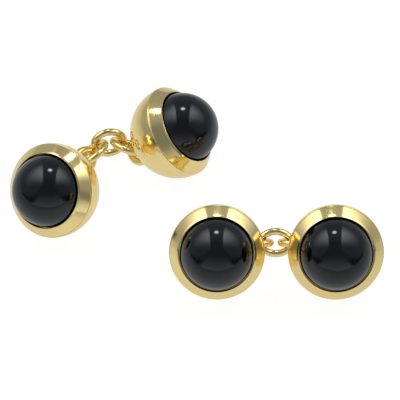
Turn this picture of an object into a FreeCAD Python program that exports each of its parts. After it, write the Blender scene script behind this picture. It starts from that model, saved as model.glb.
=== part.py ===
import FreeCAD, Part
import math
import os

from FreeCAD import Placement, Rotation, Vector

# Chain-link cufflinks with two faces each: a domed black stone in a gold cup at both
# ends of a short chain of five oval links. They lie on a table, every head resting on
# its round cup, every link leaning on one of its long sides.
# X runs to the right, Y to the back, Z up; the table is at Z = 0.

# Head, measured along its own axis from the seam, where the cup's edge meets the collar.
# The cup is a little more than half a ball, so the seam lies above its widest circle.
HEAD_DIAMETER = 12.0
SEAM_RISE = 0.4
CUP_WALL = 0.5
BEZEL_HEIGHT = 1.4
BEZEL_BULGE = 0.1
RIM_WIDTH = 0.1
COLLAR_WIDTH = 1.25
GIRDLE_HEIGHT = 0.45
DOME_HEIGHT = 4.75
STONE_EDGE_BREAK = 0.2
STONE_FIT = 0.05
BEARER_WIDTH = 1.6
BEARER_THICKNESS = 0.5
BEARER_FIT = 0.1

# Chain, whose drawn-out length leaves the gap for a folded cuff between two cups side by
# side. Wire, link and eye are shares of a link's length, play is a share of its free room.
CUFF_GAP = 2.6
LINK_COUNT = 5
WIRE_SHARE = 0.192
LINK_WIDTH_SHARE = 0.772
LINK_END_SHARE = 0.8
LINK_PLAY_SHARE = 0.18
EYE_WIDTH_SHARE = 0.834
EYE_HEIGHT_SHARE = 0.5
EYE_PLAY_SHARE = 0.05

# Cuts run this far past the faces they open.
CUT_OVERRUN = 1.0

# How the pieces lie on the table, angles in degrees.
FACE_TILT = 41.6
BACK_TO_LEFT = 23.3
BACK_TO_REAR = 14.9

# Sizes that follow from the ones above.
CUP_RADIUS = HEAD_DIAMETER / 2
CUP_DEPTH = CUP_RADIUS + SEAM_RISE
SEAM_RADIUS = math.sqrt(CUP_RADIUS ** 2 - SEAM_RISE ** 2)
STONE_RADIUS = CUP_RADIUS - COLLAR_WIDTH
BORE_RADIUS = STONE_RADIUS + STONE_FIT
DOME_APEX = GIRDLE_HEIGHT + DOME_HEIGHT
DOME_RADIUS = (STONE_RADIUS ** 2 + DOME_HEIGHT ** 2) / (2 * DOME_HEIGHT)
DOME_CENTRE = DOME_APEX - DOME_RADIUS

# Links reach end to end from eye to eye, less a wire's breadth for every link and every
# crossing, less the play at the crossings, more the play at the eyes.
CROSSINGS = LINK_COUNT - 1
FREE_SHARE = 1 - 3 * WIRE_SHARE
DRAWN_SHARES = LINK_COUNT - (LINK_COUNT + CROSSINGS) * WIRE_SHARE
DRAWN_SHARES += (2 * EYE_PLAY_SHARE - CROSSINGS * LINK_PLAY_SHARE) * FREE_SHARE
LINK_LENGTH = (2 * CUP_RADIUS + CUFF_GAP) / DRAWN_SHARES
LINK_FREE = FREE_SHARE * LINK_LENGTH
WIRE_DIAMETER = WIRE_SHARE * LINK_LENGTH
WIRE_RADIUS = WIRE_DIAMETER / 2
LINK_HALF_LENGTH = LINK_LENGTH / 2 - WIRE_RADIUS
LINK_HALF_WIDTH = LINK_WIDTH_SHARE * LINK_LENGTH / 2 - WIRE_RADIUS
EYE_HEIGHT = EYE_HEIGHT_SHARE * LINK_LENGTH
EYE_RADIUS = EYE_WIDTH_SHARE * LINK_LENGTH / 2 - WIRE_RADIUS
EYE_HOLE_REACH = CUP_RADIUS + (EYE_HEIGHT - WIRE_DIAMETER) / 2

ORIGIN = Vector(0, 0, 0)
X_AXIS = Vector(1, 0, 0)
Y_AXIS = Vector(0, 1, 0)
Z_AXIS = Vector(0, 0, 1)


def cup_reach(height):
    """Inner radius of the cup at a height over the seam."""
    return math.sqrt((CUP_RADIUS - CUP_WALL) ** 2 - (height + SEAM_RISE) ** 2)


def dome_reach(height):
    """Radius of the stone's dome at a height over the seam."""
    return math.sqrt(DOME_RADIUS ** 2 - (height - DOME_CENTRE) ** 2)


def turned(edges):
    """Solid of revolution from a closed profile of radius and height."""
    return Part.Face(Part.Wire(edges)).revolve(ORIGIN, Z_AXIS, 360)


def outline(corners):
    """Straight edges from corner to corner, each a radius and a height."""
    points = [Vector(radius, 0, height) for radius, height in corners]
    return [Part.makeLine(start, end) for start, end in zip(points, points[1:])]


def cup():
    """Spun bowl with an even wall, cut level at the seam."""
    centre = Vector(0, 0, -SEAM_RISE)
    bowl = Part.makeSphere(CUP_RADIUS, centre).cut(Part.makeSphere(CUP_RADIUS - CUP_WALL, centre))
    reach = CUP_RADIUS + CUT_OVERRUN
    mouth = Part.makeCylinder(reach, 2 * reach)
    return bowl.cut(mouth)


def bezel():
    """Collar that curves in from the seam and closes over the stone's edge."""
    lip = dome_reach(BEZEL_HEIGHT) + STONE_FIT
    corners = [
        (lip + RIM_WIDTH, BEZEL_HEIGHT),
        (lip, BEZEL_HEIGHT),
        (BORE_RADIUS, GIRDLE_HEIGHT),
        (BORE_RADIUS, 0),
        (SEAM_RADIUS, 0),
    ]
    seam = Vector(SEAM_RADIUS, 0, 0)
    rim = Vector(lip + RIM_WIDTH, 0, BEZEL_HEIGHT)
    outward = Y_AXIS.cross(rim - seam).normalize()
    slope = Part.Arc(seam, (seam + rim) / 2 + outward * BEZEL_BULGE, rim)
    return turned(outline(corners) + [slope.toShape()])


def bearer():
    """Flat ring soldered into the cup's mouth, under the collar and the stone."""
    outer = min(cup_reach(0), cup_reach(-BEARER_THICKNESS)) - BEARER_FIT
    inner = outer - BEARER_WIDTH
    corners = [
        (inner, -BEARER_THICKNESS),
        (outer, -BEARER_THICKNESS),
        (outer, 0),
        (inner, 0),
        (inner, -BEARER_THICKNESS),
    ]
    return turned(outline(corners))


def stone():
    """Cabochon with a flat back, a straight girdle and a high round dome."""
    corners = [
        (0, DOME_APEX),
        (0, 0),
        (STONE_RADIUS - STONE_EDGE_BREAK, 0),
        (STONE_RADIUS, STONE_EDGE_BREAK),
        (STONE_RADIUS, GIRDLE_HEIGHT),
    ]
    middle = (GIRDLE_HEIGHT + DOME_APEX) / 2
    dome = Part.Arc(
        Vector(STONE_RADIUS, 0, GIRDLE_HEIGHT),
        Vector(dome_reach(middle), 0, middle),
        Vector(0, 0, DOME_APEX),
    )
    return turned(outline(corners) + [dome.toShape()])


def bent_wire(centre, axis, start, sweep):
    """Round wire bent about an axis, from a start point through an angle."""
    along = axis.cross(start - centre)
    section = Part.Face(Part.Wire(Part.makeCircle(WIRE_RADIUS, start, along)))
    return section.revolve(centre, axis, sweep)


def eye():
    """Staple of round wire whose two legs stand on the cup's back."""
    bend = Vector(0, 0, -CUP_DEPTH - EYE_HEIGHT + WIRE_RADIUS + EYE_RADIUS)
    side = X_AXIS * EYE_RADIUS
    arch = bent_wire(bend, Y_AXIS, bend + side, 180)
    legs = [Part.makeCylinder(WIRE_RADIUS, CUP_DEPTH, bend + foot) for foot in (side, -side)]
    staple = arch.multiFuse(legs).removeSplitter()
    return staple.cut(Part.makeSphere(CUP_RADIUS, Vector(0, 0, -SEAM_RISE)))


def link():
    """Oval ring of round wire: two tight end bends joined by two wide side bends."""
    end_radius = LINK_END_SHARE * LINK_HALF_WIDTH
    end_centre = LINK_HALF_LENGTH - end_radius
    side_radius = (end_centre ** 2 + LINK_HALF_WIDTH ** 2 - end_radius ** 2) / 2
    side_radius = side_radius / (LINK_HALF_WIDTH - end_radius)
    side_centre = side_radius - LINK_HALF_WIDTH
    meet = math.atan2(side_centre, end_centre)
    end_sweep = math.degrees(2 * meet)
    side_sweep = 180 - end_sweep
    bends = []
    for flip in (1, -1):
        end = X_AXIS * end_centre * flip
        end_arm = Vector(math.cos(meet), -math.sin(meet), 0) * end_radius * flip
        bends.append(bent_wire(end, Z_AXIS, end + end_arm, end_sweep))
        side = Y_AXIS * side_centre * -flip
        side_arm = Vector(math.cos(meet), math.sin(meet), 0) * side_radius * flip
        bends.append(bent_wire(side, Z_AXIS, side + side_arm, side_sweep))
    return bends[0].multiFuse(bends[1:]).removeSplitter()


def level(yaw):
    """Level direction at an angle from X."""
    turn = math.radians(yaw)
    return Vector(math.cos(turn), math.sin(turn), 0)


def link_place(centre, yaw, lean):
    """Place of a link that leans about its length until a long side meets the table."""
    rise = LINK_HALF_WIDTH * abs(math.sin(math.radians(lean))) + WIRE_RADIUS
    return Placement(centre + Z_AXIS * rise, Rotation(Z_AXIS, yaw) * Rotation(X_AXIS, lean))


def head_place(eye_hole, face, roll):
    """Place of a head that rests on its cup with the middle of its eye over a point."""
    turn = Rotation(Z_AXIS, face) * Rotation(X_AXIS, 90 - FACE_TILT) * Rotation(Z_AXIS, roll)
    axis = turn.multVec(Z_AXIS)
    middle = eye_hole + axis * EYE_HOLE_REACH
    middle.z = CUP_RADIUS
    return Placement(middle + axis * SEAM_RISE, turn)


def chain_places(spot, yaws, leans, play_shares):
    """Places of the links, whose wires cross end in end, the middle link over a spot."""
    centres = [ORIGIN]
    for before, after, share in zip(yaws, yaws[1:], play_shares):
        both = level(before) + level(after)
        crossing = WIRE_DIAMETER + share * LINK_FREE
        centres.append(centres[-1] + both * LINK_HALF_LENGTH - both.normalize() * crossing)
    shift = spot - centres[len(centres) // 2]
    return [link_place(centre + shift, yaw, lean) for centre, yaw, lean in zip(centres, yaws, leans)]


def eye_holes(places, eye_shares):
    """Points on the table under the eyes that the first and the last link run through."""
    points = []
    for place, share, way in zip((places[0], places[-1]), eye_shares, (-1, 1)):
        reach = LINK_HALF_LENGTH + share * LINK_FREE
        point = place.multVec(X_AXIS * reach * way)
        points.append(Vector(point.x, point.y, 0))
    return points


def placed(shape, place):
    """The shape moved to its place."""
    shape.Placement = place
    return shape


def cufflink(name, spot, pose):
    """Every piece of one cufflink by node name, its middle link over a spot."""
    places = chain_places(spot, pose["yaws"], pose["leans"], pose["play_shares"])
    holes = eye_holes(places, pose["eye_shares"])
    heads = [head_place(*turns) for turns in zip(holes, pose["faces"], pose["rolls"])]
    pieces = {}
    for number, place in enumerate(places, 1):
        pieces[f"{name}_link_{number}"] = placed(link(), place)
    for side, place in zip(("left", "right"), heads):
        for piece in (cup, bezel, bearer, stone, eye):
            pieces[f"{name}_{side}_{piece.__name__}"] = placed(piece(), place)
    return pieces


# The front cufflink: chain drawn out straight along X, both faces to the front. Yaws
# turn the links from X, leans tip them about their length, faces turn the heads from
# the front, rolls turn the eyes about their heads. Shares are of a link's free room.
FRONT_POSE = {
    "yaws": (0, 0, 0, 0, 0),
    "leans": (45, -45, 45, -45, 45),
    "play_shares": (LINK_PLAY_SHARE,) * CROSSINGS,
    "eye_shares": (EYE_PLAY_SHARE,) * 2,
    "faces": (-2, 1),
    "rolls": (0, 0),
}

# The back cufflink: heads turned away from each other, the chain slack and bent.
BACK_POSE = {
    "yaws": (94, 56, 55, 13, -32),
    "leans": (-42, 54, -37, 57, -37),
    "play_shares": (0.2, 0.3, 0.18, 0.18),
    "eye_shares": (-0.02, -0.1),
    "faces": (-39, 85),
    "rolls": (-29, 35),
}
BACK_SPOT = Vector(-BACK_TO_LEFT, BACK_TO_REAR, 0)

nodes = cufflink("front", ORIGIN, FRONT_POSE)
nodes.update(cufflink("back", BACK_SPOT, BACK_POSE))

# The origin is on the table, under the middle of everything.
bounds = Part.makeCompound(list(nodes.values())).optimalBoundingBox()
shift = Vector(-bounds.Center.x, -bounds.Center.y, 0)

os.makedirs("parts", exist_ok=True)
for node, shape in nodes.items():
    shape.translate(shift)
    shape.exportStep(f"parts/{node}.step")
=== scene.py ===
import math

import bpy
import numpy as np
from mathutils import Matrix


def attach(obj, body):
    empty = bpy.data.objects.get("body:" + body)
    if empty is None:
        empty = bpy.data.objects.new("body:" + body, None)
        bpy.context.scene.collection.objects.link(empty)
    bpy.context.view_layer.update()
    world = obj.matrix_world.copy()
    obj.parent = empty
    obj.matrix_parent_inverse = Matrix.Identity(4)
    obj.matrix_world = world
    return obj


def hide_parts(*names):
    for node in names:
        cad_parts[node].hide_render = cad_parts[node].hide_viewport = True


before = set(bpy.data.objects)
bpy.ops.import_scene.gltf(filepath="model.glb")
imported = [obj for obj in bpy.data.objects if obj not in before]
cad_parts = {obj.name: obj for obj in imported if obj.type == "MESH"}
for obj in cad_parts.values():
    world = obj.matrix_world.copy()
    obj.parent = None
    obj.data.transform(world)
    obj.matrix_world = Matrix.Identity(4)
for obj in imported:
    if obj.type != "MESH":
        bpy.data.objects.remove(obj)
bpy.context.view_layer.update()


# Cups: the back of each head is a bowl spun from yellow gold sheet, a little more than half
# a ball. Its edge is the seam where the collar is soldered on; both sides of the seam are
# filed and polished to a fine rounded line. All sizes are in millimetres.
MM = 0.001
HEADS = ("front_left", "front_right", "back_left", "back_right")
CUP_RADIUS = 5.994
CUP_WALL = 0.5
SEAM_RISE = 0.4
SEAM_RADIUS = math.sqrt(CUP_RADIUS ** 2 - SEAM_RISE ** 2)
SEAM_ROUND = 0.07
TURNS = 224
RING_SPACING = 0.1
MERGE_DIGITS = 7
CORNER_POINTS = 9
BOWL_RINGS = 96
EDGE_RINGS = 3
LINING_RINGS = 64


def corners(node):
    """Every vertex of a CAD node, in millimetres."""
    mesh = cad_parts[node].data
    points = np.empty(len(mesh.vertices) * 3, np.float32)
    mesh.vertices.foreach_get("co", points)
    return points.reshape(-1, 3).astype(float) / MM


def middle(node):
    """Centre of a CAD node's skin: the middles of its triangles, weighted by their areas."""
    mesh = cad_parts[node].data
    mesh.calc_loop_triangles()
    index = np.empty(len(mesh.loop_triangles) * 3, np.int32)
    mesh.loop_triangles.foreach_get("vertices", index)
    a, b, c = corners(node)[index].reshape(-1, 3, 3).transpose(1, 0, 2)
    areas = np.linalg.norm(np.cross(b - a, c - a), axis=1)
    return areas @ (a + b + c) / (3 * areas.sum())


def head_place(head):
    """Where a head lies, as an origin and three axes. Cup and stone are round about one
    line, so their middles give the z axis; the collar's lowest ring gives the origin on
    it; the eye's widest spread across it gives the x axis."""
    axis = middle(f"{head}_stone") - middle(f"{head}_cup")
    axis = axis / np.linalg.norm(axis)
    base = middle(f"{head}_bezel")
    base = base + axis * ((corners(f"{head}_bezel") - base) @ axis).min()
    wire = corners(f"{head}_eye") - base
    wire = wire - np.outer(wire @ axis, axis)
    across = np.linalg.eigh(wire.T @ wire)[1][:, -1]
    return base, np.array([across, np.cross(axis, across), axis])


def rounded(points, radii):
    """Profile through corner points whose corners are arcs of the given radii: an arc
    touches both sides at radius / tan(half the corner's angle) from the corner and turns
    evenly between the two sides' directions. Straight runs are divided evenly."""
    points = np.asarray(points, float)
    parts = [points[:1]]
    for before, corner, after, radius in zip(points, points[1:], points[2:], radii):
        back = (before - corner) / np.linalg.norm(before - corner)
        ahead = (after - corner) / np.linalg.norm(after - corner)
        half = math.acos(np.clip(back @ ahead, -1, 1)) / 2
        bisector = (back + ahead) / np.linalg.norm(back + ahead)
        centre = corner + bisector * radius / math.sin(half)
        start = corner + back * radius / math.tan(half) - centre
        end = corner + ahead * radius / math.tan(half) - centre
        turn = math.acos(np.clip(start @ end / radius ** 2, -1, 1))
        t = np.linspace(0, 1, CORNER_POINTS)[:, None]
        arc = (np.sin((1 - t) * turn) * start + np.sin(t * turn) * end) / math.sin(turn)
        parts.append(centre + arc)
    parts.append(points[-1:])
    line = np.concatenate(parts)
    gaps = np.linalg.norm(np.diff(line, axis=0), axis=1)
    counts = np.maximum(np.ceil(gaps / RING_SPACING), 1).astype(int)
    owner = np.repeat(np.arange(len(gaps)), counts)
    first = np.repeat(np.cumsum(counts) - counts, counts)
    step = ((np.arange(len(owner)) - first) / counts[owner])[:, None]
    runs = line[owner] + step * (line[owner + 1] - line[owner])
    return np.concatenate([runs, line[-1:]])


def arc_points(centre, radius, start, end, count):
    """Points of an arc about a centre on the axis, as radius and height, angles from level."""
    angles = np.radians(np.linspace(start, end, count))
    return np.stack([radius * np.cos(angles), centre + radius * np.sin(angles)], axis=1)


def turned(profile):
    """Grid of a turned surface: row i, turn j is at radius_i times the cosine and sine of
    the turn and at height_i. The last turn repeats the first."""
    radius, height = np.asarray(profile, float).T
    turn = np.linspace(0, 2 * np.pi, TURNS + 1)
    turn[-1] = 0
    x = np.outer(radius, np.cos(turn))
    y = np.outer(radius, np.sin(turn))
    z = np.outer(height, np.ones_like(turn))
    return np.stack([x, y, z], axis=-1)


def face_corners(rows, columns):
    """Corner numbers of the faces between neighbours of a grid that is numbered by rows."""
    index = np.arange(rows * columns).reshape(rows, columns)
    quads = np.stack([index[:-1, :-1], index[1:, :-1], index[1:, 1:], index[:-1, 1:]], axis=-1)
    return quads.reshape(-1, 4)


def skin(name, grid, place):
    """Piece whose faces join neighbours of a grid of points, set at its place. Points that
    fall together are one vertex, so seams and poles close. The UV map gives a point's way
    along its row and its way down the rows, in millimetres, for marks left by the making."""
    rows, columns = grid.shape[:2]
    along = np.linalg.norm(np.diff(grid, axis=1), axis=-1).sum(axis=1).max()
    down = np.linalg.norm(np.diff(grid, axis=0), axis=-1).max(axis=1).cumsum()
    u = np.broadcast_to(np.linspace(0, along, columns), (rows, columns))
    v = np.broadcast_to(np.concatenate([[0], down])[:, None], (rows, columns))
    points = grid.reshape(-1, 3).round(MERGE_DIGITS) + 0.0
    spots, vertex = np.unique(points, axis=0, return_inverse=True)
    vertex = vertex.reshape(-1)
    quads = face_corners(rows, columns)
    a, b, c, d = spots[vertex[quads]].transpose(1, 0, 2)
    volume = np.einsum("ij,ij", a, np.cross(b, c) + np.cross(c, d))
    quads = quads if volume > 0 else quads[:, ::-1]
    kept = vertex[quads] != np.roll(vertex[quads], 1, axis=1)
    sides = kept.sum(axis=1)
    faces = np.concatenate([quads[sides == 4].reshape(-1), quads[sides == 3][kept[sides == 3]]])
    totals = np.concatenate([np.full((sides == 4).sum(), 4), np.full((sides == 3).sum(), 3)])
    origin, axes = place
    mesh = bpy.data.meshes.new(name)
    mesh.vertices.add(len(spots))
    mesh.vertices.foreach_set("co", ((spots @ axes + origin) * MM).astype(np.float32).ravel())
    mesh.loops.add(len(faces))
    mesh.loops.foreach_set("vertex_index", vertex[faces].astype(np.int32))
    mesh.polygons.add(len(totals))
    mesh.polygons.foreach_set("loop_start", (np.cumsum(totals) - totals).astype(np.int32))
    marks = mesh.uv_layers.new(name="way")
    mesh.update(calc_edges=True)
    ways = np.stack([u.ravel()[faces], v.ravel()[faces]], axis=1)
    marks.data.foreach_set("uv", ways.astype(np.float32).ravel())
    mesh.shade_smooth()
    mesh.validate()
    piece = bpy.data.objects.new(name, mesh)
    bpy.context.scene.collection.objects.link(piece)
    return piece


def linear(colour):
    """Linear RGBA of an sRGB hex colour."""
    parts = [int(colour[i:i + 2], 16) / 255 for i in (1, 3, 5)]
    return [c / 12.92 if c <= 0.04045 else ((c + 0.055) / 1.055) ** 2.4 for c in parts] + [1]


def add(tree, kind, settings=(), links=()):
    """Node of a kind; settings are its properties, or input values under their names or
    numbers; links lead into its inputs."""
    node = tree.nodes.new(kind)
    for key, value in dict(settings).items():
        if isinstance(key, str) and key in node.bl_rna.properties:
            setattr(node, key, value)
        else:
            node.inputs[key].default_value = value
    for key, socket in dict(links).items():
        tree.links.new(socket, node.inputs[key])
    return node


# Gold: what all its finishes share. The colour drifts and the buff's waves run over a few
# millimetres; a scored line is duller than the polish. Knocks are small shallow dents.
DRIFT_SPACING = 3.0
WAVE_SPACING = 1.8
WAVE_DEPTH = 0.012
SCORE_DEPTH = 0.0035
SCORE_DULLNESS = 0.08
KNOCK_SPACING = 1.4
KNOCK_SHARE = 0.14
KNOCK_DEPTH = 0.004


def gold(name, body, shade, smooth, marks, run):
    """Yellow gold alloy. Body and shade colours drift as the polish does, and the buff leaves
    the surface gently wavy. Marks of the making run along the rows of the UV map: run
    millimetres long, marks millimetres apart. Wear leaves a knock here and there."""
    material = bpy.data.materials.new(name)
    material.use_nodes = True
    tree = material.node_tree
    shader = tree.nodes["Principled BSDF"]
    shader.inputs["Metallic"].default_value = 1
    place = add(tree, "ShaderNodeTexCoord")
    spot = {"Vector": place.outputs["Object"]}
    drift = add(tree, "ShaderNodeTexNoise", {"Scale": 1 / (DRIFT_SPACING * MM), "Detail": 2}, spot)
    tint = add(
        tree,
        "ShaderNodeMix",
        {"data_type": "RGBA", 6: linear(body), 7: linear(shade)},
        {0: drift.outputs["Fac"]},
    )
    tree.links.new(tint.outputs[2], shader.inputs["Base Color"])
    stretch = add(
        tree,
        "ShaderNodeMapping",
        {"Scale": (1 / run, 1 / marks, 1)},
        {"Vector": place.outputs["UV"]},
    )
    lines = add(
        tree,
        "ShaderNodeTexNoise",
        {"Scale": 1, "Detail": 3},
        {"Vector": stretch.outputs["Vector"]},
    )
    gloss = add(
        tree,
        "ShaderNodeMapRange",
        {"From Min": 0.35, "From Max": 0.65, "To Min": smooth, "To Max": smooth + SCORE_DULLNESS},
        {"Value": lines.outputs["Fac"]},
    )
    tree.links.new(gloss.outputs["Result"], shader.inputs["Roughness"])
    waves = add(tree, "ShaderNodeTexNoise", {"Scale": 1 / (WAVE_SPACING * MM), "Detail": 1}, spot)
    buffed = add(
        tree,
        "ShaderNodeBump",
        {"Strength": 1, "Distance": WAVE_DEPTH * MM},
        {"Height": waves.outputs["Fac"]},
    )
    scored = add(
        tree,
        "ShaderNodeBump",
        {"Strength": 0.5, "Distance": SCORE_DEPTH * MM},
        {"Height": lines.outputs["Fac"], "Normal": buffed.outputs["Normal"]},
    )
    knocks = add(tree, "ShaderNodeTexVoronoi", {"Scale": 1 / (KNOCK_SPACING * MM)}, spot)
    pits = add(
        tree,
        "ShaderNodeMapRange",
        {"From Max": KNOCK_SHARE},
        {"Value": knocks.outputs["Distance"]},
    )
    dented = add(
        tree,
        "ShaderNodeBump",
        {"Strength": 1, "Distance": KNOCK_DEPTH * MM},
        {"Height": pits.outputs["Result"], "Normal": scored.outputs["Normal"]},
    )
    tree.links.new(dented.outputs["Normal"], shader.inputs["Normal"])
    return material


# Sheet gold, spun or bent to shape and buffed until it mirrors the room, is pale yellow with
# a hint of olive where it mirrors the dark.
SHEET_FINISH = {"body": "#FFE9A6", "shade": "#FBE197", "smooth": 0.07, "marks": 0.12, "run": 6.0}
spun_gold = gold("yellow_gold_spun_and_polished", **SHEET_FINISH)
edge_angle = math.degrees(math.asin(SEAM_RISE / CUP_RADIUS))
lining_angle = math.degrees(math.asin(SEAM_RISE / (CUP_RADIUS - CUP_WALL)))
bowl = arc_points(-SEAM_RISE, CUP_RADIUS, -90, edge_angle, BOWL_RINGS)
lining = arc_points(-SEAM_RISE, CUP_RADIUS - CUP_WALL, lining_angle, -90, LINING_RINGS)
bowl[0, 0] = 0
lining[-1, 0] = 0
edge = rounded(
    [bowl[-EDGE_RINGS], bowl[-1], lining[0], lining[1]],
    [SEAM_ROUND, SEAM_ROUND / 2],
)
cup_profile = np.concatenate([bowl[:-EDGE_RINGS], edge, lining[2:]])
places = {head: head_place(head) for head in HEADS}
for head in HEADS:
    cup = skin(f"{head}_spun_cup", turned(cup_profile), places[head])
    cup.data.materials.append(spun_gold)
    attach(cup, f"{head}_head")
    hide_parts(f"{head}_cup")


# Bearers: a gold ring inside each cup carries the stone. It is hidden once the head is
# closed, so the CAD ring stays and only takes the gold's finish.
for head in HEADS:
    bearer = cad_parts[f"{head}_bearer"]
    bearer.data.materials.clear()
    bearer.data.materials.append(spun_gold)


# Stones: cabochons of black onyx, dyed chalcedony, cut with a flat back, a straight girdle
# and a high dome, and polished to a mirror. They sit loose on the bearer, held by the collar.
STONE_RADIUS = 4.64
STONE_EDGE_BREAK = 0.2
GIRDLE_HEIGHT = 0.45
DOME_HEIGHT = 4.75
DOME_RINGS = 128

# Onyx is all but black; faint wide bands of the agate show where light grazes it, and a buff
# on felt leaves hardly any roughness. The polish gives back light a little cooler than it is.
BAND_SPACING = 5.655
WAVES_PER_UNIT = 20 / (2 * math.pi)
HAZE_SPACING = 1.2
POLISH_ROUGHNESS = 0.03
HAZE_ROUGHNESS = 0.07
onyx = bpy.data.materials.new("black_onyx_polished")
onyx.use_nodes = True
tree = onyx.node_tree
shader = tree.nodes["Principled BSDF"]
shader.inputs["IOR"].default_value = 1.54
shader.inputs["Specular Tint"].default_value = linear("#ECF2FA")
place = add(tree, "ShaderNodeTexCoord")
bands = add(
    tree,
    "ShaderNodeTexWave",
    {
        "Scale": 1 / (WAVES_PER_UNIT * BAND_SPACING * MM),
        "Distortion": 6,
        "Detail": 3,
        "Detail Scale": 1.4,
    },
    {"Vector": place.outputs["Object"]},
)
depth = add(
    tree,
    "ShaderNodeMix",
    {"data_type": "RGBA", 6: linear("#040506"), 7: linear("#07090B")},
    {0: bands.outputs["Fac"]},
)
tree.links.new(depth.outputs[2], shader.inputs["Base Color"])
haze = add(
    tree,
    "ShaderNodeTexNoise",
    {"Scale": 1 / (HAZE_SPACING * MM), "Detail": 3},
    {"Vector": place.outputs["Object"]},
)
gloss = add(
    tree,
    "ShaderNodeMapRange",
    {"To Min": POLISH_ROUGHNESS, "To Max": HAZE_ROUGHNESS},
    {"Value": haze.outputs["Fac"]},
)
tree.links.new(gloss.outputs["Result"], shader.inputs["Roughness"])

dome = arc_points(GIRDLE_HEIGHT, DOME_HEIGHT, 0, 90, DOME_RINGS)
dome = dome * np.array([STONE_RADIUS / DOME_HEIGHT, 1])
dome[-1, 0] = 0
girdle = rounded(
    [(0, 0), (STONE_RADIUS, 0), (STONE_RADIUS, GIRDLE_HEIGHT)],
    [STONE_EDGE_BREAK],
)
stone_profile = np.concatenate([girdle, dome[1:]])
for head in HEADS:
    stone = skin(f"{head}_onyx_cabochon", turned(stone_profile), places[head])
    stone.data.materials.append(onyx)
    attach(stone, f"{head}_head")
    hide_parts(f"{head}_stone")


# Collars: a ring of gold curves in from the seam, soldered to the cup; its thin top edge is
# rubbed down over the stone all round, and the burnisher leaves a flatter band along the lip.
BORE_RADIUS = 4.8
BEZEL_HEIGHT = 1.4
BEZEL_BULGE = 0.006
SHOULDER_RADIUS = 4.975
SHOULDER_HEIGHT = 1.2
SHOULDER_ROUND = 0.8
LIP_RADIUS = 4.755
LIP_ROUND = 0.03
BORE_ROUND = 0.03
SLOPE_POINTS = 25
FOOT_POINTS = 5
LIP_POINTS = 3


def bulged(start, end, bulge, count):
    """Points of a flat arch over a chord: the way along the chord, plus bulge times one less
    the square of the way from the chord's middle, out to its right."""
    t = np.linspace(-1, 1, count)[:, None]
    start, end = np.asarray(start, float), np.asarray(end, float)
    along = (end - start) / np.linalg.norm(end - start)
    right = np.array([along[1], -along[0]])
    return start + (end - start) * (t + 1) / 2 + bulge * (1 - t ** 2) * right


seam, shoulder = (SEAM_RADIUS, 0), (SHOULDER_RADIUS, SHOULDER_HEIGHT)
slope = bulged(seam, shoulder, BEZEL_BULGE, SLOPE_POINTS)
inside = (BORE_RADIUS, GIRDLE_HEIGHT)
foot = rounded(
    [inside, (BORE_RADIUS, 0), slope[0], slope[FOOT_POINTS - 1]],
    [BORE_ROUND, SEAM_ROUND],
)
lip = rounded(
    [slope[-LIP_POINTS], slope[-1], (LIP_RADIUS, BEZEL_HEIGHT), inside],
    [SHOULDER_ROUND, LIP_ROUND],
)
collar_profile = np.concatenate([foot, slope[FOOT_POINTS:-LIP_POINTS], lip])

# The same polished gold; past the lip, down in the fine gap beside the stone, the gold is matt and
# carries painted shade: a dark brown, not metallic colour for the shadow in the gap.
GAP_SHADE_FADE = 0.05
GAP_SHADE_ROUGHNESS = 0.9
rubbed_gold = gold("yellow_gold_rubbed_over_stone_shade_painted_in_gap", **SHEET_FINISH)
ways = np.linalg.norm(np.diff(collar_profile, axis=0), axis=1)
lip_way = ways[:collar_profile[:, 0].argmin()].sum()
tree = rubbed_gold.node_tree
shader = tree.nodes["Principled BSDF"]
place = add(tree, "ShaderNodeTexCoord")
way = add(tree, "ShaderNodeSeparateXYZ", {}, {"Vector": place.outputs["UV"]})
# Painted shade mask: 1 on the polished gold, fading to 0 past the lip in the gap beside the stone.
unshaded_mask = add(
    tree,
    "ShaderNodeMapRange",
    {"From Min": lip_way, "From Max": lip_way + GAP_SHADE_FADE, "To Min": 1, "To Max": 0},
    {"Value": way.outputs["Y"]},
)
polished = shader.inputs["Base Color"].links[0].from_socket
# Painted shade: dark brown colour in the gap beside the stone.
painted_gap_shade = add(
    tree,
    "ShaderNodeMix",
    {"data_type": "RGBA", 6: linear("#2A1C0A")},
    {0: unshaded_mask.outputs["Result"], 7: polished},
)
gap_shade_roughness = add(
    tree,
    "ShaderNodeMath",
    {"operation": "SUBTRACT", 0: GAP_SHADE_ROUGHNESS},
    {1: unshaded_mask.outputs["Result"]},
)
glossy = shader.inputs["Roughness"].links[0].from_socket
rough = add(tree, "ShaderNodeMath", {"operation": "MAXIMUM"}, {0: gap_shade_roughness.outputs[0], 1: glossy})
tree.links.new(painted_gap_shade.outputs[2], shader.inputs["Base Color"])
tree.links.new(rough.outputs[0], shader.inputs["Roughness"])
tree.links.new(unshaded_mask.outputs["Result"], shader.inputs["Metallic"])
for head in HEADS:
    collar = skin(f"{head}_rubbed_collar", turned(collar_profile), places[head])
    collar.data.materials.append(rubbed_gold)
    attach(collar, f"{head}_head")
    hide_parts(f"{head}_bezel")


# Eyes: a staple of round gold wire stands on the back of each cup, both feet soldered down.
# The solder has run up the wire and leaves each foot a little flared.
EYE_HEIGHT = 2.426
EYE_RADIUS = 1.557
WIRE_RADIUS = 0.462
FOOT_SUNK = 0.12
FOOT_FLARE = 0.16
FLARE_RUN = 0.12
WIRE_SIDES = 40
LEG_POINTS = 24
BEND_POINTS = 72


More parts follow.
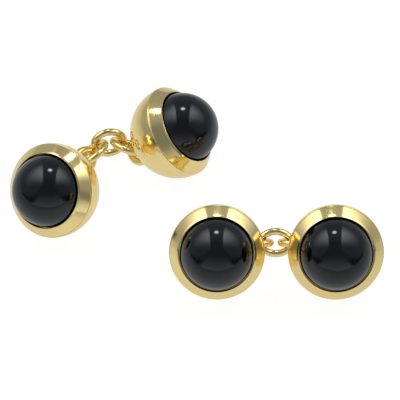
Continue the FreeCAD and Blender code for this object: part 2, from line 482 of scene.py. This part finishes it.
def wire(path, radius, closed):
    """Grid of round wire along a flat path in x and y: about each path point lies a circle,
    in the plane of the path's normal and z, and the rows run along the wire through all the
    circles. An open path is capped by circles of no radius at its ends."""
    if closed:
        ahead = np.roll(path, -1, axis=0) - np.roll(path, 1, axis=0)
    else:
        ahead = np.gradient(path, axis=0)
    normal = np.stack([-ahead[:, 1], ahead[:, 0]], axis=1)
    normal = normal / np.linalg.norm(normal, axis=1)[:, None]
    if closed:
        path, normal, radius = (np.concatenate([a, a[:1]]) for a in (path, normal, radius))
    else:
        path, normal = (np.concatenate([a[:1], a, a[-1:]]) for a in (path, normal))
        radius = np.concatenate([[0], radius, [0]])
    turn = np.linspace(0, 2 * np.pi, WIRE_SIDES + 1)
    turn[-1] = 0
    out = radius[:, None] * np.cos(turn)
    return np.stack(
        [
            path[:, :1] + normal[:, :1] * out,
            path[:, 1:] + normal[:, 1:] * out,
            radius[:, None] * np.sin(turn),
        ],
        axis=-1,
    ).transpose(1, 0, 2)


# Drawn wire is a little duller and deeper in colour than the sheet, and the die leaves fine
# short lines along it.
wire_gold = gold(
    "yellow_gold_drawn_wire",
    body="#FBE5A0",
    shade="#F3D98E",
    smooth=0.09,
    marks=0.06,
    run=2.5,
)
arch = -SEAM_RISE - CUP_RADIUS - EYE_HEIGHT + WIRE_RADIUS + EYE_RADIUS
cup_level = -SEAM_RISE - math.sqrt(CUP_RADIUS ** 2 - EYE_RADIUS ** 2)
leg = np.linspace(cup_level + FOOT_SUNK, arch, LEG_POINTS)[:-1]
bend = np.radians(np.linspace(0, -180, BEND_POINTS))
eye_path = np.concatenate(
    [
        np.stack([np.full_like(leg, EYE_RADIUS), leg], axis=1),
        np.stack([EYE_RADIUS * np.cos(bend), arch + EYE_RADIUS * np.sin(bend)], axis=1),
        np.stack([np.full_like(leg, -EYE_RADIUS), leg[::-1]], axis=1),
    ]
)
from_cup = np.maximum(cup_level - eye_path[:, 1], 0)
eye_radius = WIRE_RADIUS + FOOT_FLARE * np.exp(-from_cup / FLARE_RUN)
for head in HEADS:
    origin, axes = places[head]
    upright = axes[[0, 2, 1]] * np.array([[1], [1], [-1]])
    eye = skin(f"{head}_wire_eye", wire(eye_path, eye_radius, False), (origin, upright))
    eye.data.materials.append(wire_gold)
    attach(eye, f"{head}_head")
    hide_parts(f"{head}_eye")


# Links: five ovals of round gold wire to a chain. Each is bent round a former, closed
# through its neighbours and soldered at the middle of its upper long side, where a slight
# swelling is left after filing.
CUFFLINKS = ("front", "back")
LINK_COUNT = 5
LINK_END_SHARE = 0.8
LINK_END_POINTS = 49
LINK_SIDE_POINTS = 41
SOLDER_SWELL = 0.012
SOLDER_LENGTH = 0.35


def link_place(node):
    """Where a link lies: its middle, and its axes from the longest to the shortest spread
    of its vertices, the second one upwards."""
    points = corners(node)
    centre = middle(node)
    spreads = np.linalg.eigh((points - centre).T @ (points - centre))[1][:, ::-1].T
    across = spreads[1] * np.sign(spreads[1][2])
    return centre, np.array([spreads[0], across, np.cross(spreads[0], across)])


def oval(half_length, half_width):
    """Closed path of an oval: tight arcs round two end centres, joined by wide arcs about
    two side centres, tangent where they meet."""
    end_radius = LINK_END_SHARE * half_width
    end_centre = half_length - end_radius
    step = half_width - end_radius
    side_radius = (end_centre ** 2 + half_width ** 2 - end_radius ** 2) / (2 * step)
    side_centre = side_radius - half_width
    meet = math.atan2(side_centre, end_centre)
    end = np.linspace(-meet, meet, LINK_END_POINTS)[:-1]
    side = np.linspace(meet, np.pi - meet, LINK_SIDE_POINTS)[:-1]
    tight = np.stack([end_centre + end_radius * np.cos(end), end_radius * np.sin(end)], axis=1)
    wide = np.stack([side_radius * np.cos(side), side_radius * np.sin(side) - side_centre], axis=1)
    return np.concatenate([tight, wide, -tight, -wide])


for cufflink in CUFFLINKS:
    for number in range(1, LINK_COUNT + 1):
        node = f"{cufflink}_link_{number}"
        centre, axes = link_place(node)
        reach = np.abs((corners(node) - centre) @ axes.T).max(axis=0)
        half_length, half_width = reach[:2] - WIRE_RADIUS
        path = oval(half_length, half_width)
        from_joint = np.linalg.norm(path - [0, half_width], axis=1)
        thickness = WIRE_RADIUS + SOLDER_SWELL * np.exp(-((from_joint / SOLDER_LENGTH) ** 2))
        link = skin(f"{node}_of_wire", wire(path, thickness, True), (centre, axes))
        link.data.materials.append(wire_gold)
        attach(link, node)
        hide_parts(node)


# Table: a sheet of matt white card that takes a faint soft shadow under the pieces. It shows as
# white to the eye. The gold and the stones mirror it a little less bright, and darker where it
# lies further off; that darkening is a painted falloff of light, set into the card's own glow as
# the gold and the stones see it.
TABLE_REACH = 4000
CARD_SHOWN = 0.8
CARD_TO_EYE = 1.15
CARD_NEAR, CARD_NEAR_LEVEL = 20, 0.77
CARD_FAR, CARD_FAR_LEVEL = 55, 0.5
card = bpy.data.materials.new("white_card_matt")
card.use_nodes = True
tree = card.node_tree
shader = tree.nodes["Principled BSDF"]
shader.inputs["Base Color"].default_value = linear("#F4F4F2")
shader.inputs["Roughness"].default_value = 0.9
ray = add(tree, "ShaderNodeLightPath")
to_eye = ray.outputs["Is Camera Ray"]
mirror, glass = ray.outputs["Is Glossy Ray"], ray.outputs["Is Transmission Ray"]
seen = add(tree, "ShaderNodeMath", {"operation": "MAXIMUM"}, {0: to_eye, 1: mirror})
seen = add(tree, "ShaderNodeMath", {"operation": "MAXIMUM"}, {0: seen.outputs[0], 1: glass})
share = add(tree, "ShaderNodeMath", {"operation": "MULTIPLY", 1: CARD_SHOWN}, {0: seen.outputs[0]})
place = add(tree, "ShaderNodeTexCoord")
away = add(tree, "ShaderNodeVectorMath", {"operation": "LENGTH"}, {0: place.outputs["Object"]})
# Painted falloff of light: the card's glow as the gold and the stones mirror it fades from the
# near level to the far level with distance from the middle of the table.
mirrored = add(
    tree,
    "ShaderNodeMapRange",
    {
        "From Min": CARD_NEAR * MM,
        "From Max": CARD_FAR * MM,
        "To Min": CARD_NEAR_LEVEL,
        "To Max": CARD_FAR_LEVEL,
    },
    {"Value": away.outputs["Value"]},
)
plain = add(tree, "ShaderNodeMath", {"operation": "MULTIPLY", 1: CARD_TO_EYE}, {0: to_eye})
strength = add(
    tree,
    "ShaderNodeMath",
    {"operation": "MAXIMUM"},
    {0: mirrored.outputs["Result"], 1: plain.outputs[0]},
)
white = add(
    tree,
    "ShaderNodeEmission",
    {"Color": linear("#FFFFFF")},
    {"Strength": strength.outputs[0]},
)
mixed = add(
    tree,
    "ShaderNodeMixShader",
    {},
    {0: share.outputs[0], 1: shader.outputs[0], 2: white.outputs[0]},
)
tree.links.new(mixed.outputs[0], tree.nodes["Material Output"].inputs["Surface"])
table_mesh = bpy.data.meshes.new("table")
rim = TABLE_REACH * MM
table_mesh.from_pydata(
    [(-rim, -rim, 0), (rim, -rim, 0), (rim, rim, 0), (-rim, rim, 0)],
    [],
    [(0, 1, 2, 3)],
)
table_mesh.materials.append(card)
table = bpy.data.objects.new("table", table_mesh)
bpy.context.scene.collection.objects.link(table)


# Studio: a dim tent round the table. A dark slot runs overhead from the camera to the back,
# between two broad soft lights left and right that are brightest near the top. A small lamp
# hangs in the slot behind the pieces, and pale light from the room comes in low in front.
TENT_RADIUS = 190
TENT_COLUMNS = 361
TENT_ROWS = 181
TENT_HEM = -1

# Levels of the tent's parts, where white is 1, each with the angles or shares at which it
# comes in or fades. Turns are degrees over the top from the camera; sides run from 0 to 1.
CLOTH = 0.25
SLOT_SIDE = (0.285, 0.335)
SLOT_BACK, SLOT_BACK_TURN = 0.21, (76, 108)
SLOT_END, SLOT_END_TURN = 0.08, (124, 146)
FLANK, FLANK_SLANT, FLANK_SIDE = 0.14, 75, (1.12, 1.36)
REAR, REAR_TURN = 0.06, (130, 150)
CORNER, CORNER_SIDE, CORNER_TURN = 0.12, (0.62, 0.74), (18, 42)
SOFT, SOFT_FROM, SOFT_TO = 2.45, (67, 112), (112, 150)
SOFT_END, SOFT_FADE = 0.95, 0.57
ROOM, ROOM_TURN = 0.28, (20, 48)
ROOM_LOW, ROOM_LOW_TURN = 0.4, (-2, 28)
ROOM_SLANT, ROOM_SIDE = 140, (0.68, 0.84)
LAMP, LAMP_TURN, LAMP_CONE = 10.5, 118.5, (2.5, 7)
HALO, HALO_CONE = 0.4, (5, 10)


def rise(value, low, high):
    """Smooth step: 0 up to low, 1 from high, and three t squared less two t cubed between."""
    t = np.clip((value - low) / (high - low), 0, 1)
    return t * t * (3 - 2 * t)


def glow(direction):
    """Brightness of the tent by direction, told by how far it points sideways and by its
    turn over the top, 0 degrees towards the camera and 180 to the back. The slot is where
    it points little sideways, and is lighter behind. Beside it the soft lights swell and
    fade with the turn and fade sideways; the flanks under them are a little lighter and the
    front corners darkest. Low in front lies a wedge of pale light from the room, narrower
    towards its top. The lamp is a small cone with a faint halo."""
    side = np.abs(direction[..., 0])
    turn = np.degrees(np.arctan2(direction[..., 2], -direction[..., 1]))
    slot = CLOTH + SLOT_BACK * rise(turn, *SLOT_BACK_TURN) - SLOT_END * rise(turn, *SLOT_END_TURN)
    flank = FLANK * rise(side + turn / FLANK_SLANT, *FLANK_SIDE) + REAR * rise(turn, *REAR_TURN)
    corner = CORNER * rise(side, *CORNER_SIDE) * (1 - rise(turn, *CORNER_TURN))
    swell = SOFT * rise(turn, *SOFT_FROM) * (1 - rise(turn, *SOFT_TO))
    soft = swell * np.clip((SOFT_END - side) / SOFT_FADE, 0, 1)
    beside = CLOTH + flank - corner + soft
    room = ROOM * (1 - rise(turn, *ROOM_TURN)) + ROOM_LOW * (1 - rise(turn, *ROOM_LOW_TURN))
    wedge = room * (1 - rise(side + turn / ROOM_SLANT, *ROOM_SIDE))
    hung = np.radians(LAMP_TURN)
    near = direction[..., 2] * np.sin(hung) - direction[..., 1] * np.cos(hung)
    from_lamp = np.degrees(np.arccos(np.clip(near, -1, 1)))
    lamp = LAMP * (1 - rise(from_lamp, *LAMP_CONE)) + HALO * (1 - rise(from_lamp, *HALO_CONE))
    return slot + (beside - slot) * rise(side, *SLOT_SIDE) + wedge + lamp


around = np.radians(np.linspace(-180, 180, TENT_COLUMNS))[None, :]
up = np.radians(np.linspace(TENT_HEM, 90, TENT_ROWS))[:, None]
tent_grid = np.stack(
    np.broadcast_arrays(np.sin(around) * np.cos(up), -np.cos(around) * np.cos(up), np.sin(up)),
    axis=-1,
)
tent_points = (tent_grid * TENT_RADIUS * MM).reshape(-1, 3)
tent_mesh = bpy.data.meshes.new("tent")
tent_mesh.from_pydata(tent_points.tolist(), [], face_corners(TENT_ROWS, TENT_COLUMNS).tolist())
brightness = tent_mesh.attributes.new("glow", "FLOAT", "POINT")
brightness.data.foreach_set("value", glow(tent_grid).astype(np.float32).ravel())

# The tent's cloth gives off its light itself: white where it is lit, a little blue where dim.
CLOTH_DIM = 0.3
CLOTH_LIT = 1.6
cloth = bpy.data.materials.new("tent_cloth_lit")
cloth.use_nodes = True
tree = cloth.node_tree
tree.nodes.remove(tree.nodes["Principled BSDF"])
level = add(tree, "ShaderNodeAttribute", {"attribute_name": "glow"})
lit = add(
    tree,
    "ShaderNodeMapRange",
    {"From Min": CLOTH_DIM, "From Max": CLOTH_LIT},
    {"Value": level.outputs["Fac"]},
)
hue = add(
    tree,
    "ShaderNodeMix",
    {"data_type": "RGBA", 6: linear("#E6EDF8"), 7: linear("#FFFFFF")},
    {0: lit.outputs["Result"]},
)
light = add(
    tree,
    "ShaderNodeEmission",
    {},
    {"Color": hue.outputs[2], "Strength": level.outputs["Fac"]},
)
tree.links.new(light.outputs[0], tree.nodes["Material Output"].inputs["Surface"])
tent_mesh.materials.append(cloth)
tent = bpy.data.objects.new("tent", tent_mesh)
bpy.context.scene.collection.objects.link(tent)
tent.visible_camera = False

world = bpy.data.worlds.new("white_room")
bpy.context.scene.world = world
world.use_nodes = True
world.node_tree.nodes["Background"].inputs["Color"].default_value = linear("#FFFFFF")
world.node_tree.nodes["Background"].inputs["Strength"].default_value = 1


# Camera: a long lens looks down on the table from the front, a little over half way up.
CAMERA_TILT = 51.5
PICTURE_PIXELS = 400
PIXELS_PER_MM = 7.9
LENS = 355
SENSOR = 36
AIM = np.array([0.60, -0.95, 5.0])
CLIP_NEAR = 0.1
CLIP_FAR = 20
lens = bpy.data.cameras.new("camera")
lens.lens = LENS
lens.sensor_width = SENSOR
distance = PICTURE_PIXELS / PIXELS_PER_MM * LENS / SENSOR
tilt = math.radians(CAMERA_TILT)
lens.clip_start = distance * MM * CLIP_NEAR
lens.clip_end = distance * MM * CLIP_FAR
camera = bpy.data.objects.new("camera", lens)
camera.location = (AIM + distance * np.array([0, -math.cos(tilt), math.sin(tilt)])) * MM
camera.rotation_euler = (math.pi / 2 - tilt, 0, 0)
bpy.context.scene.collection.objects.link(camera)
bpy.context.scene.camera = camera
bpy.context.scene.view_settings.view_transform = "Standard"
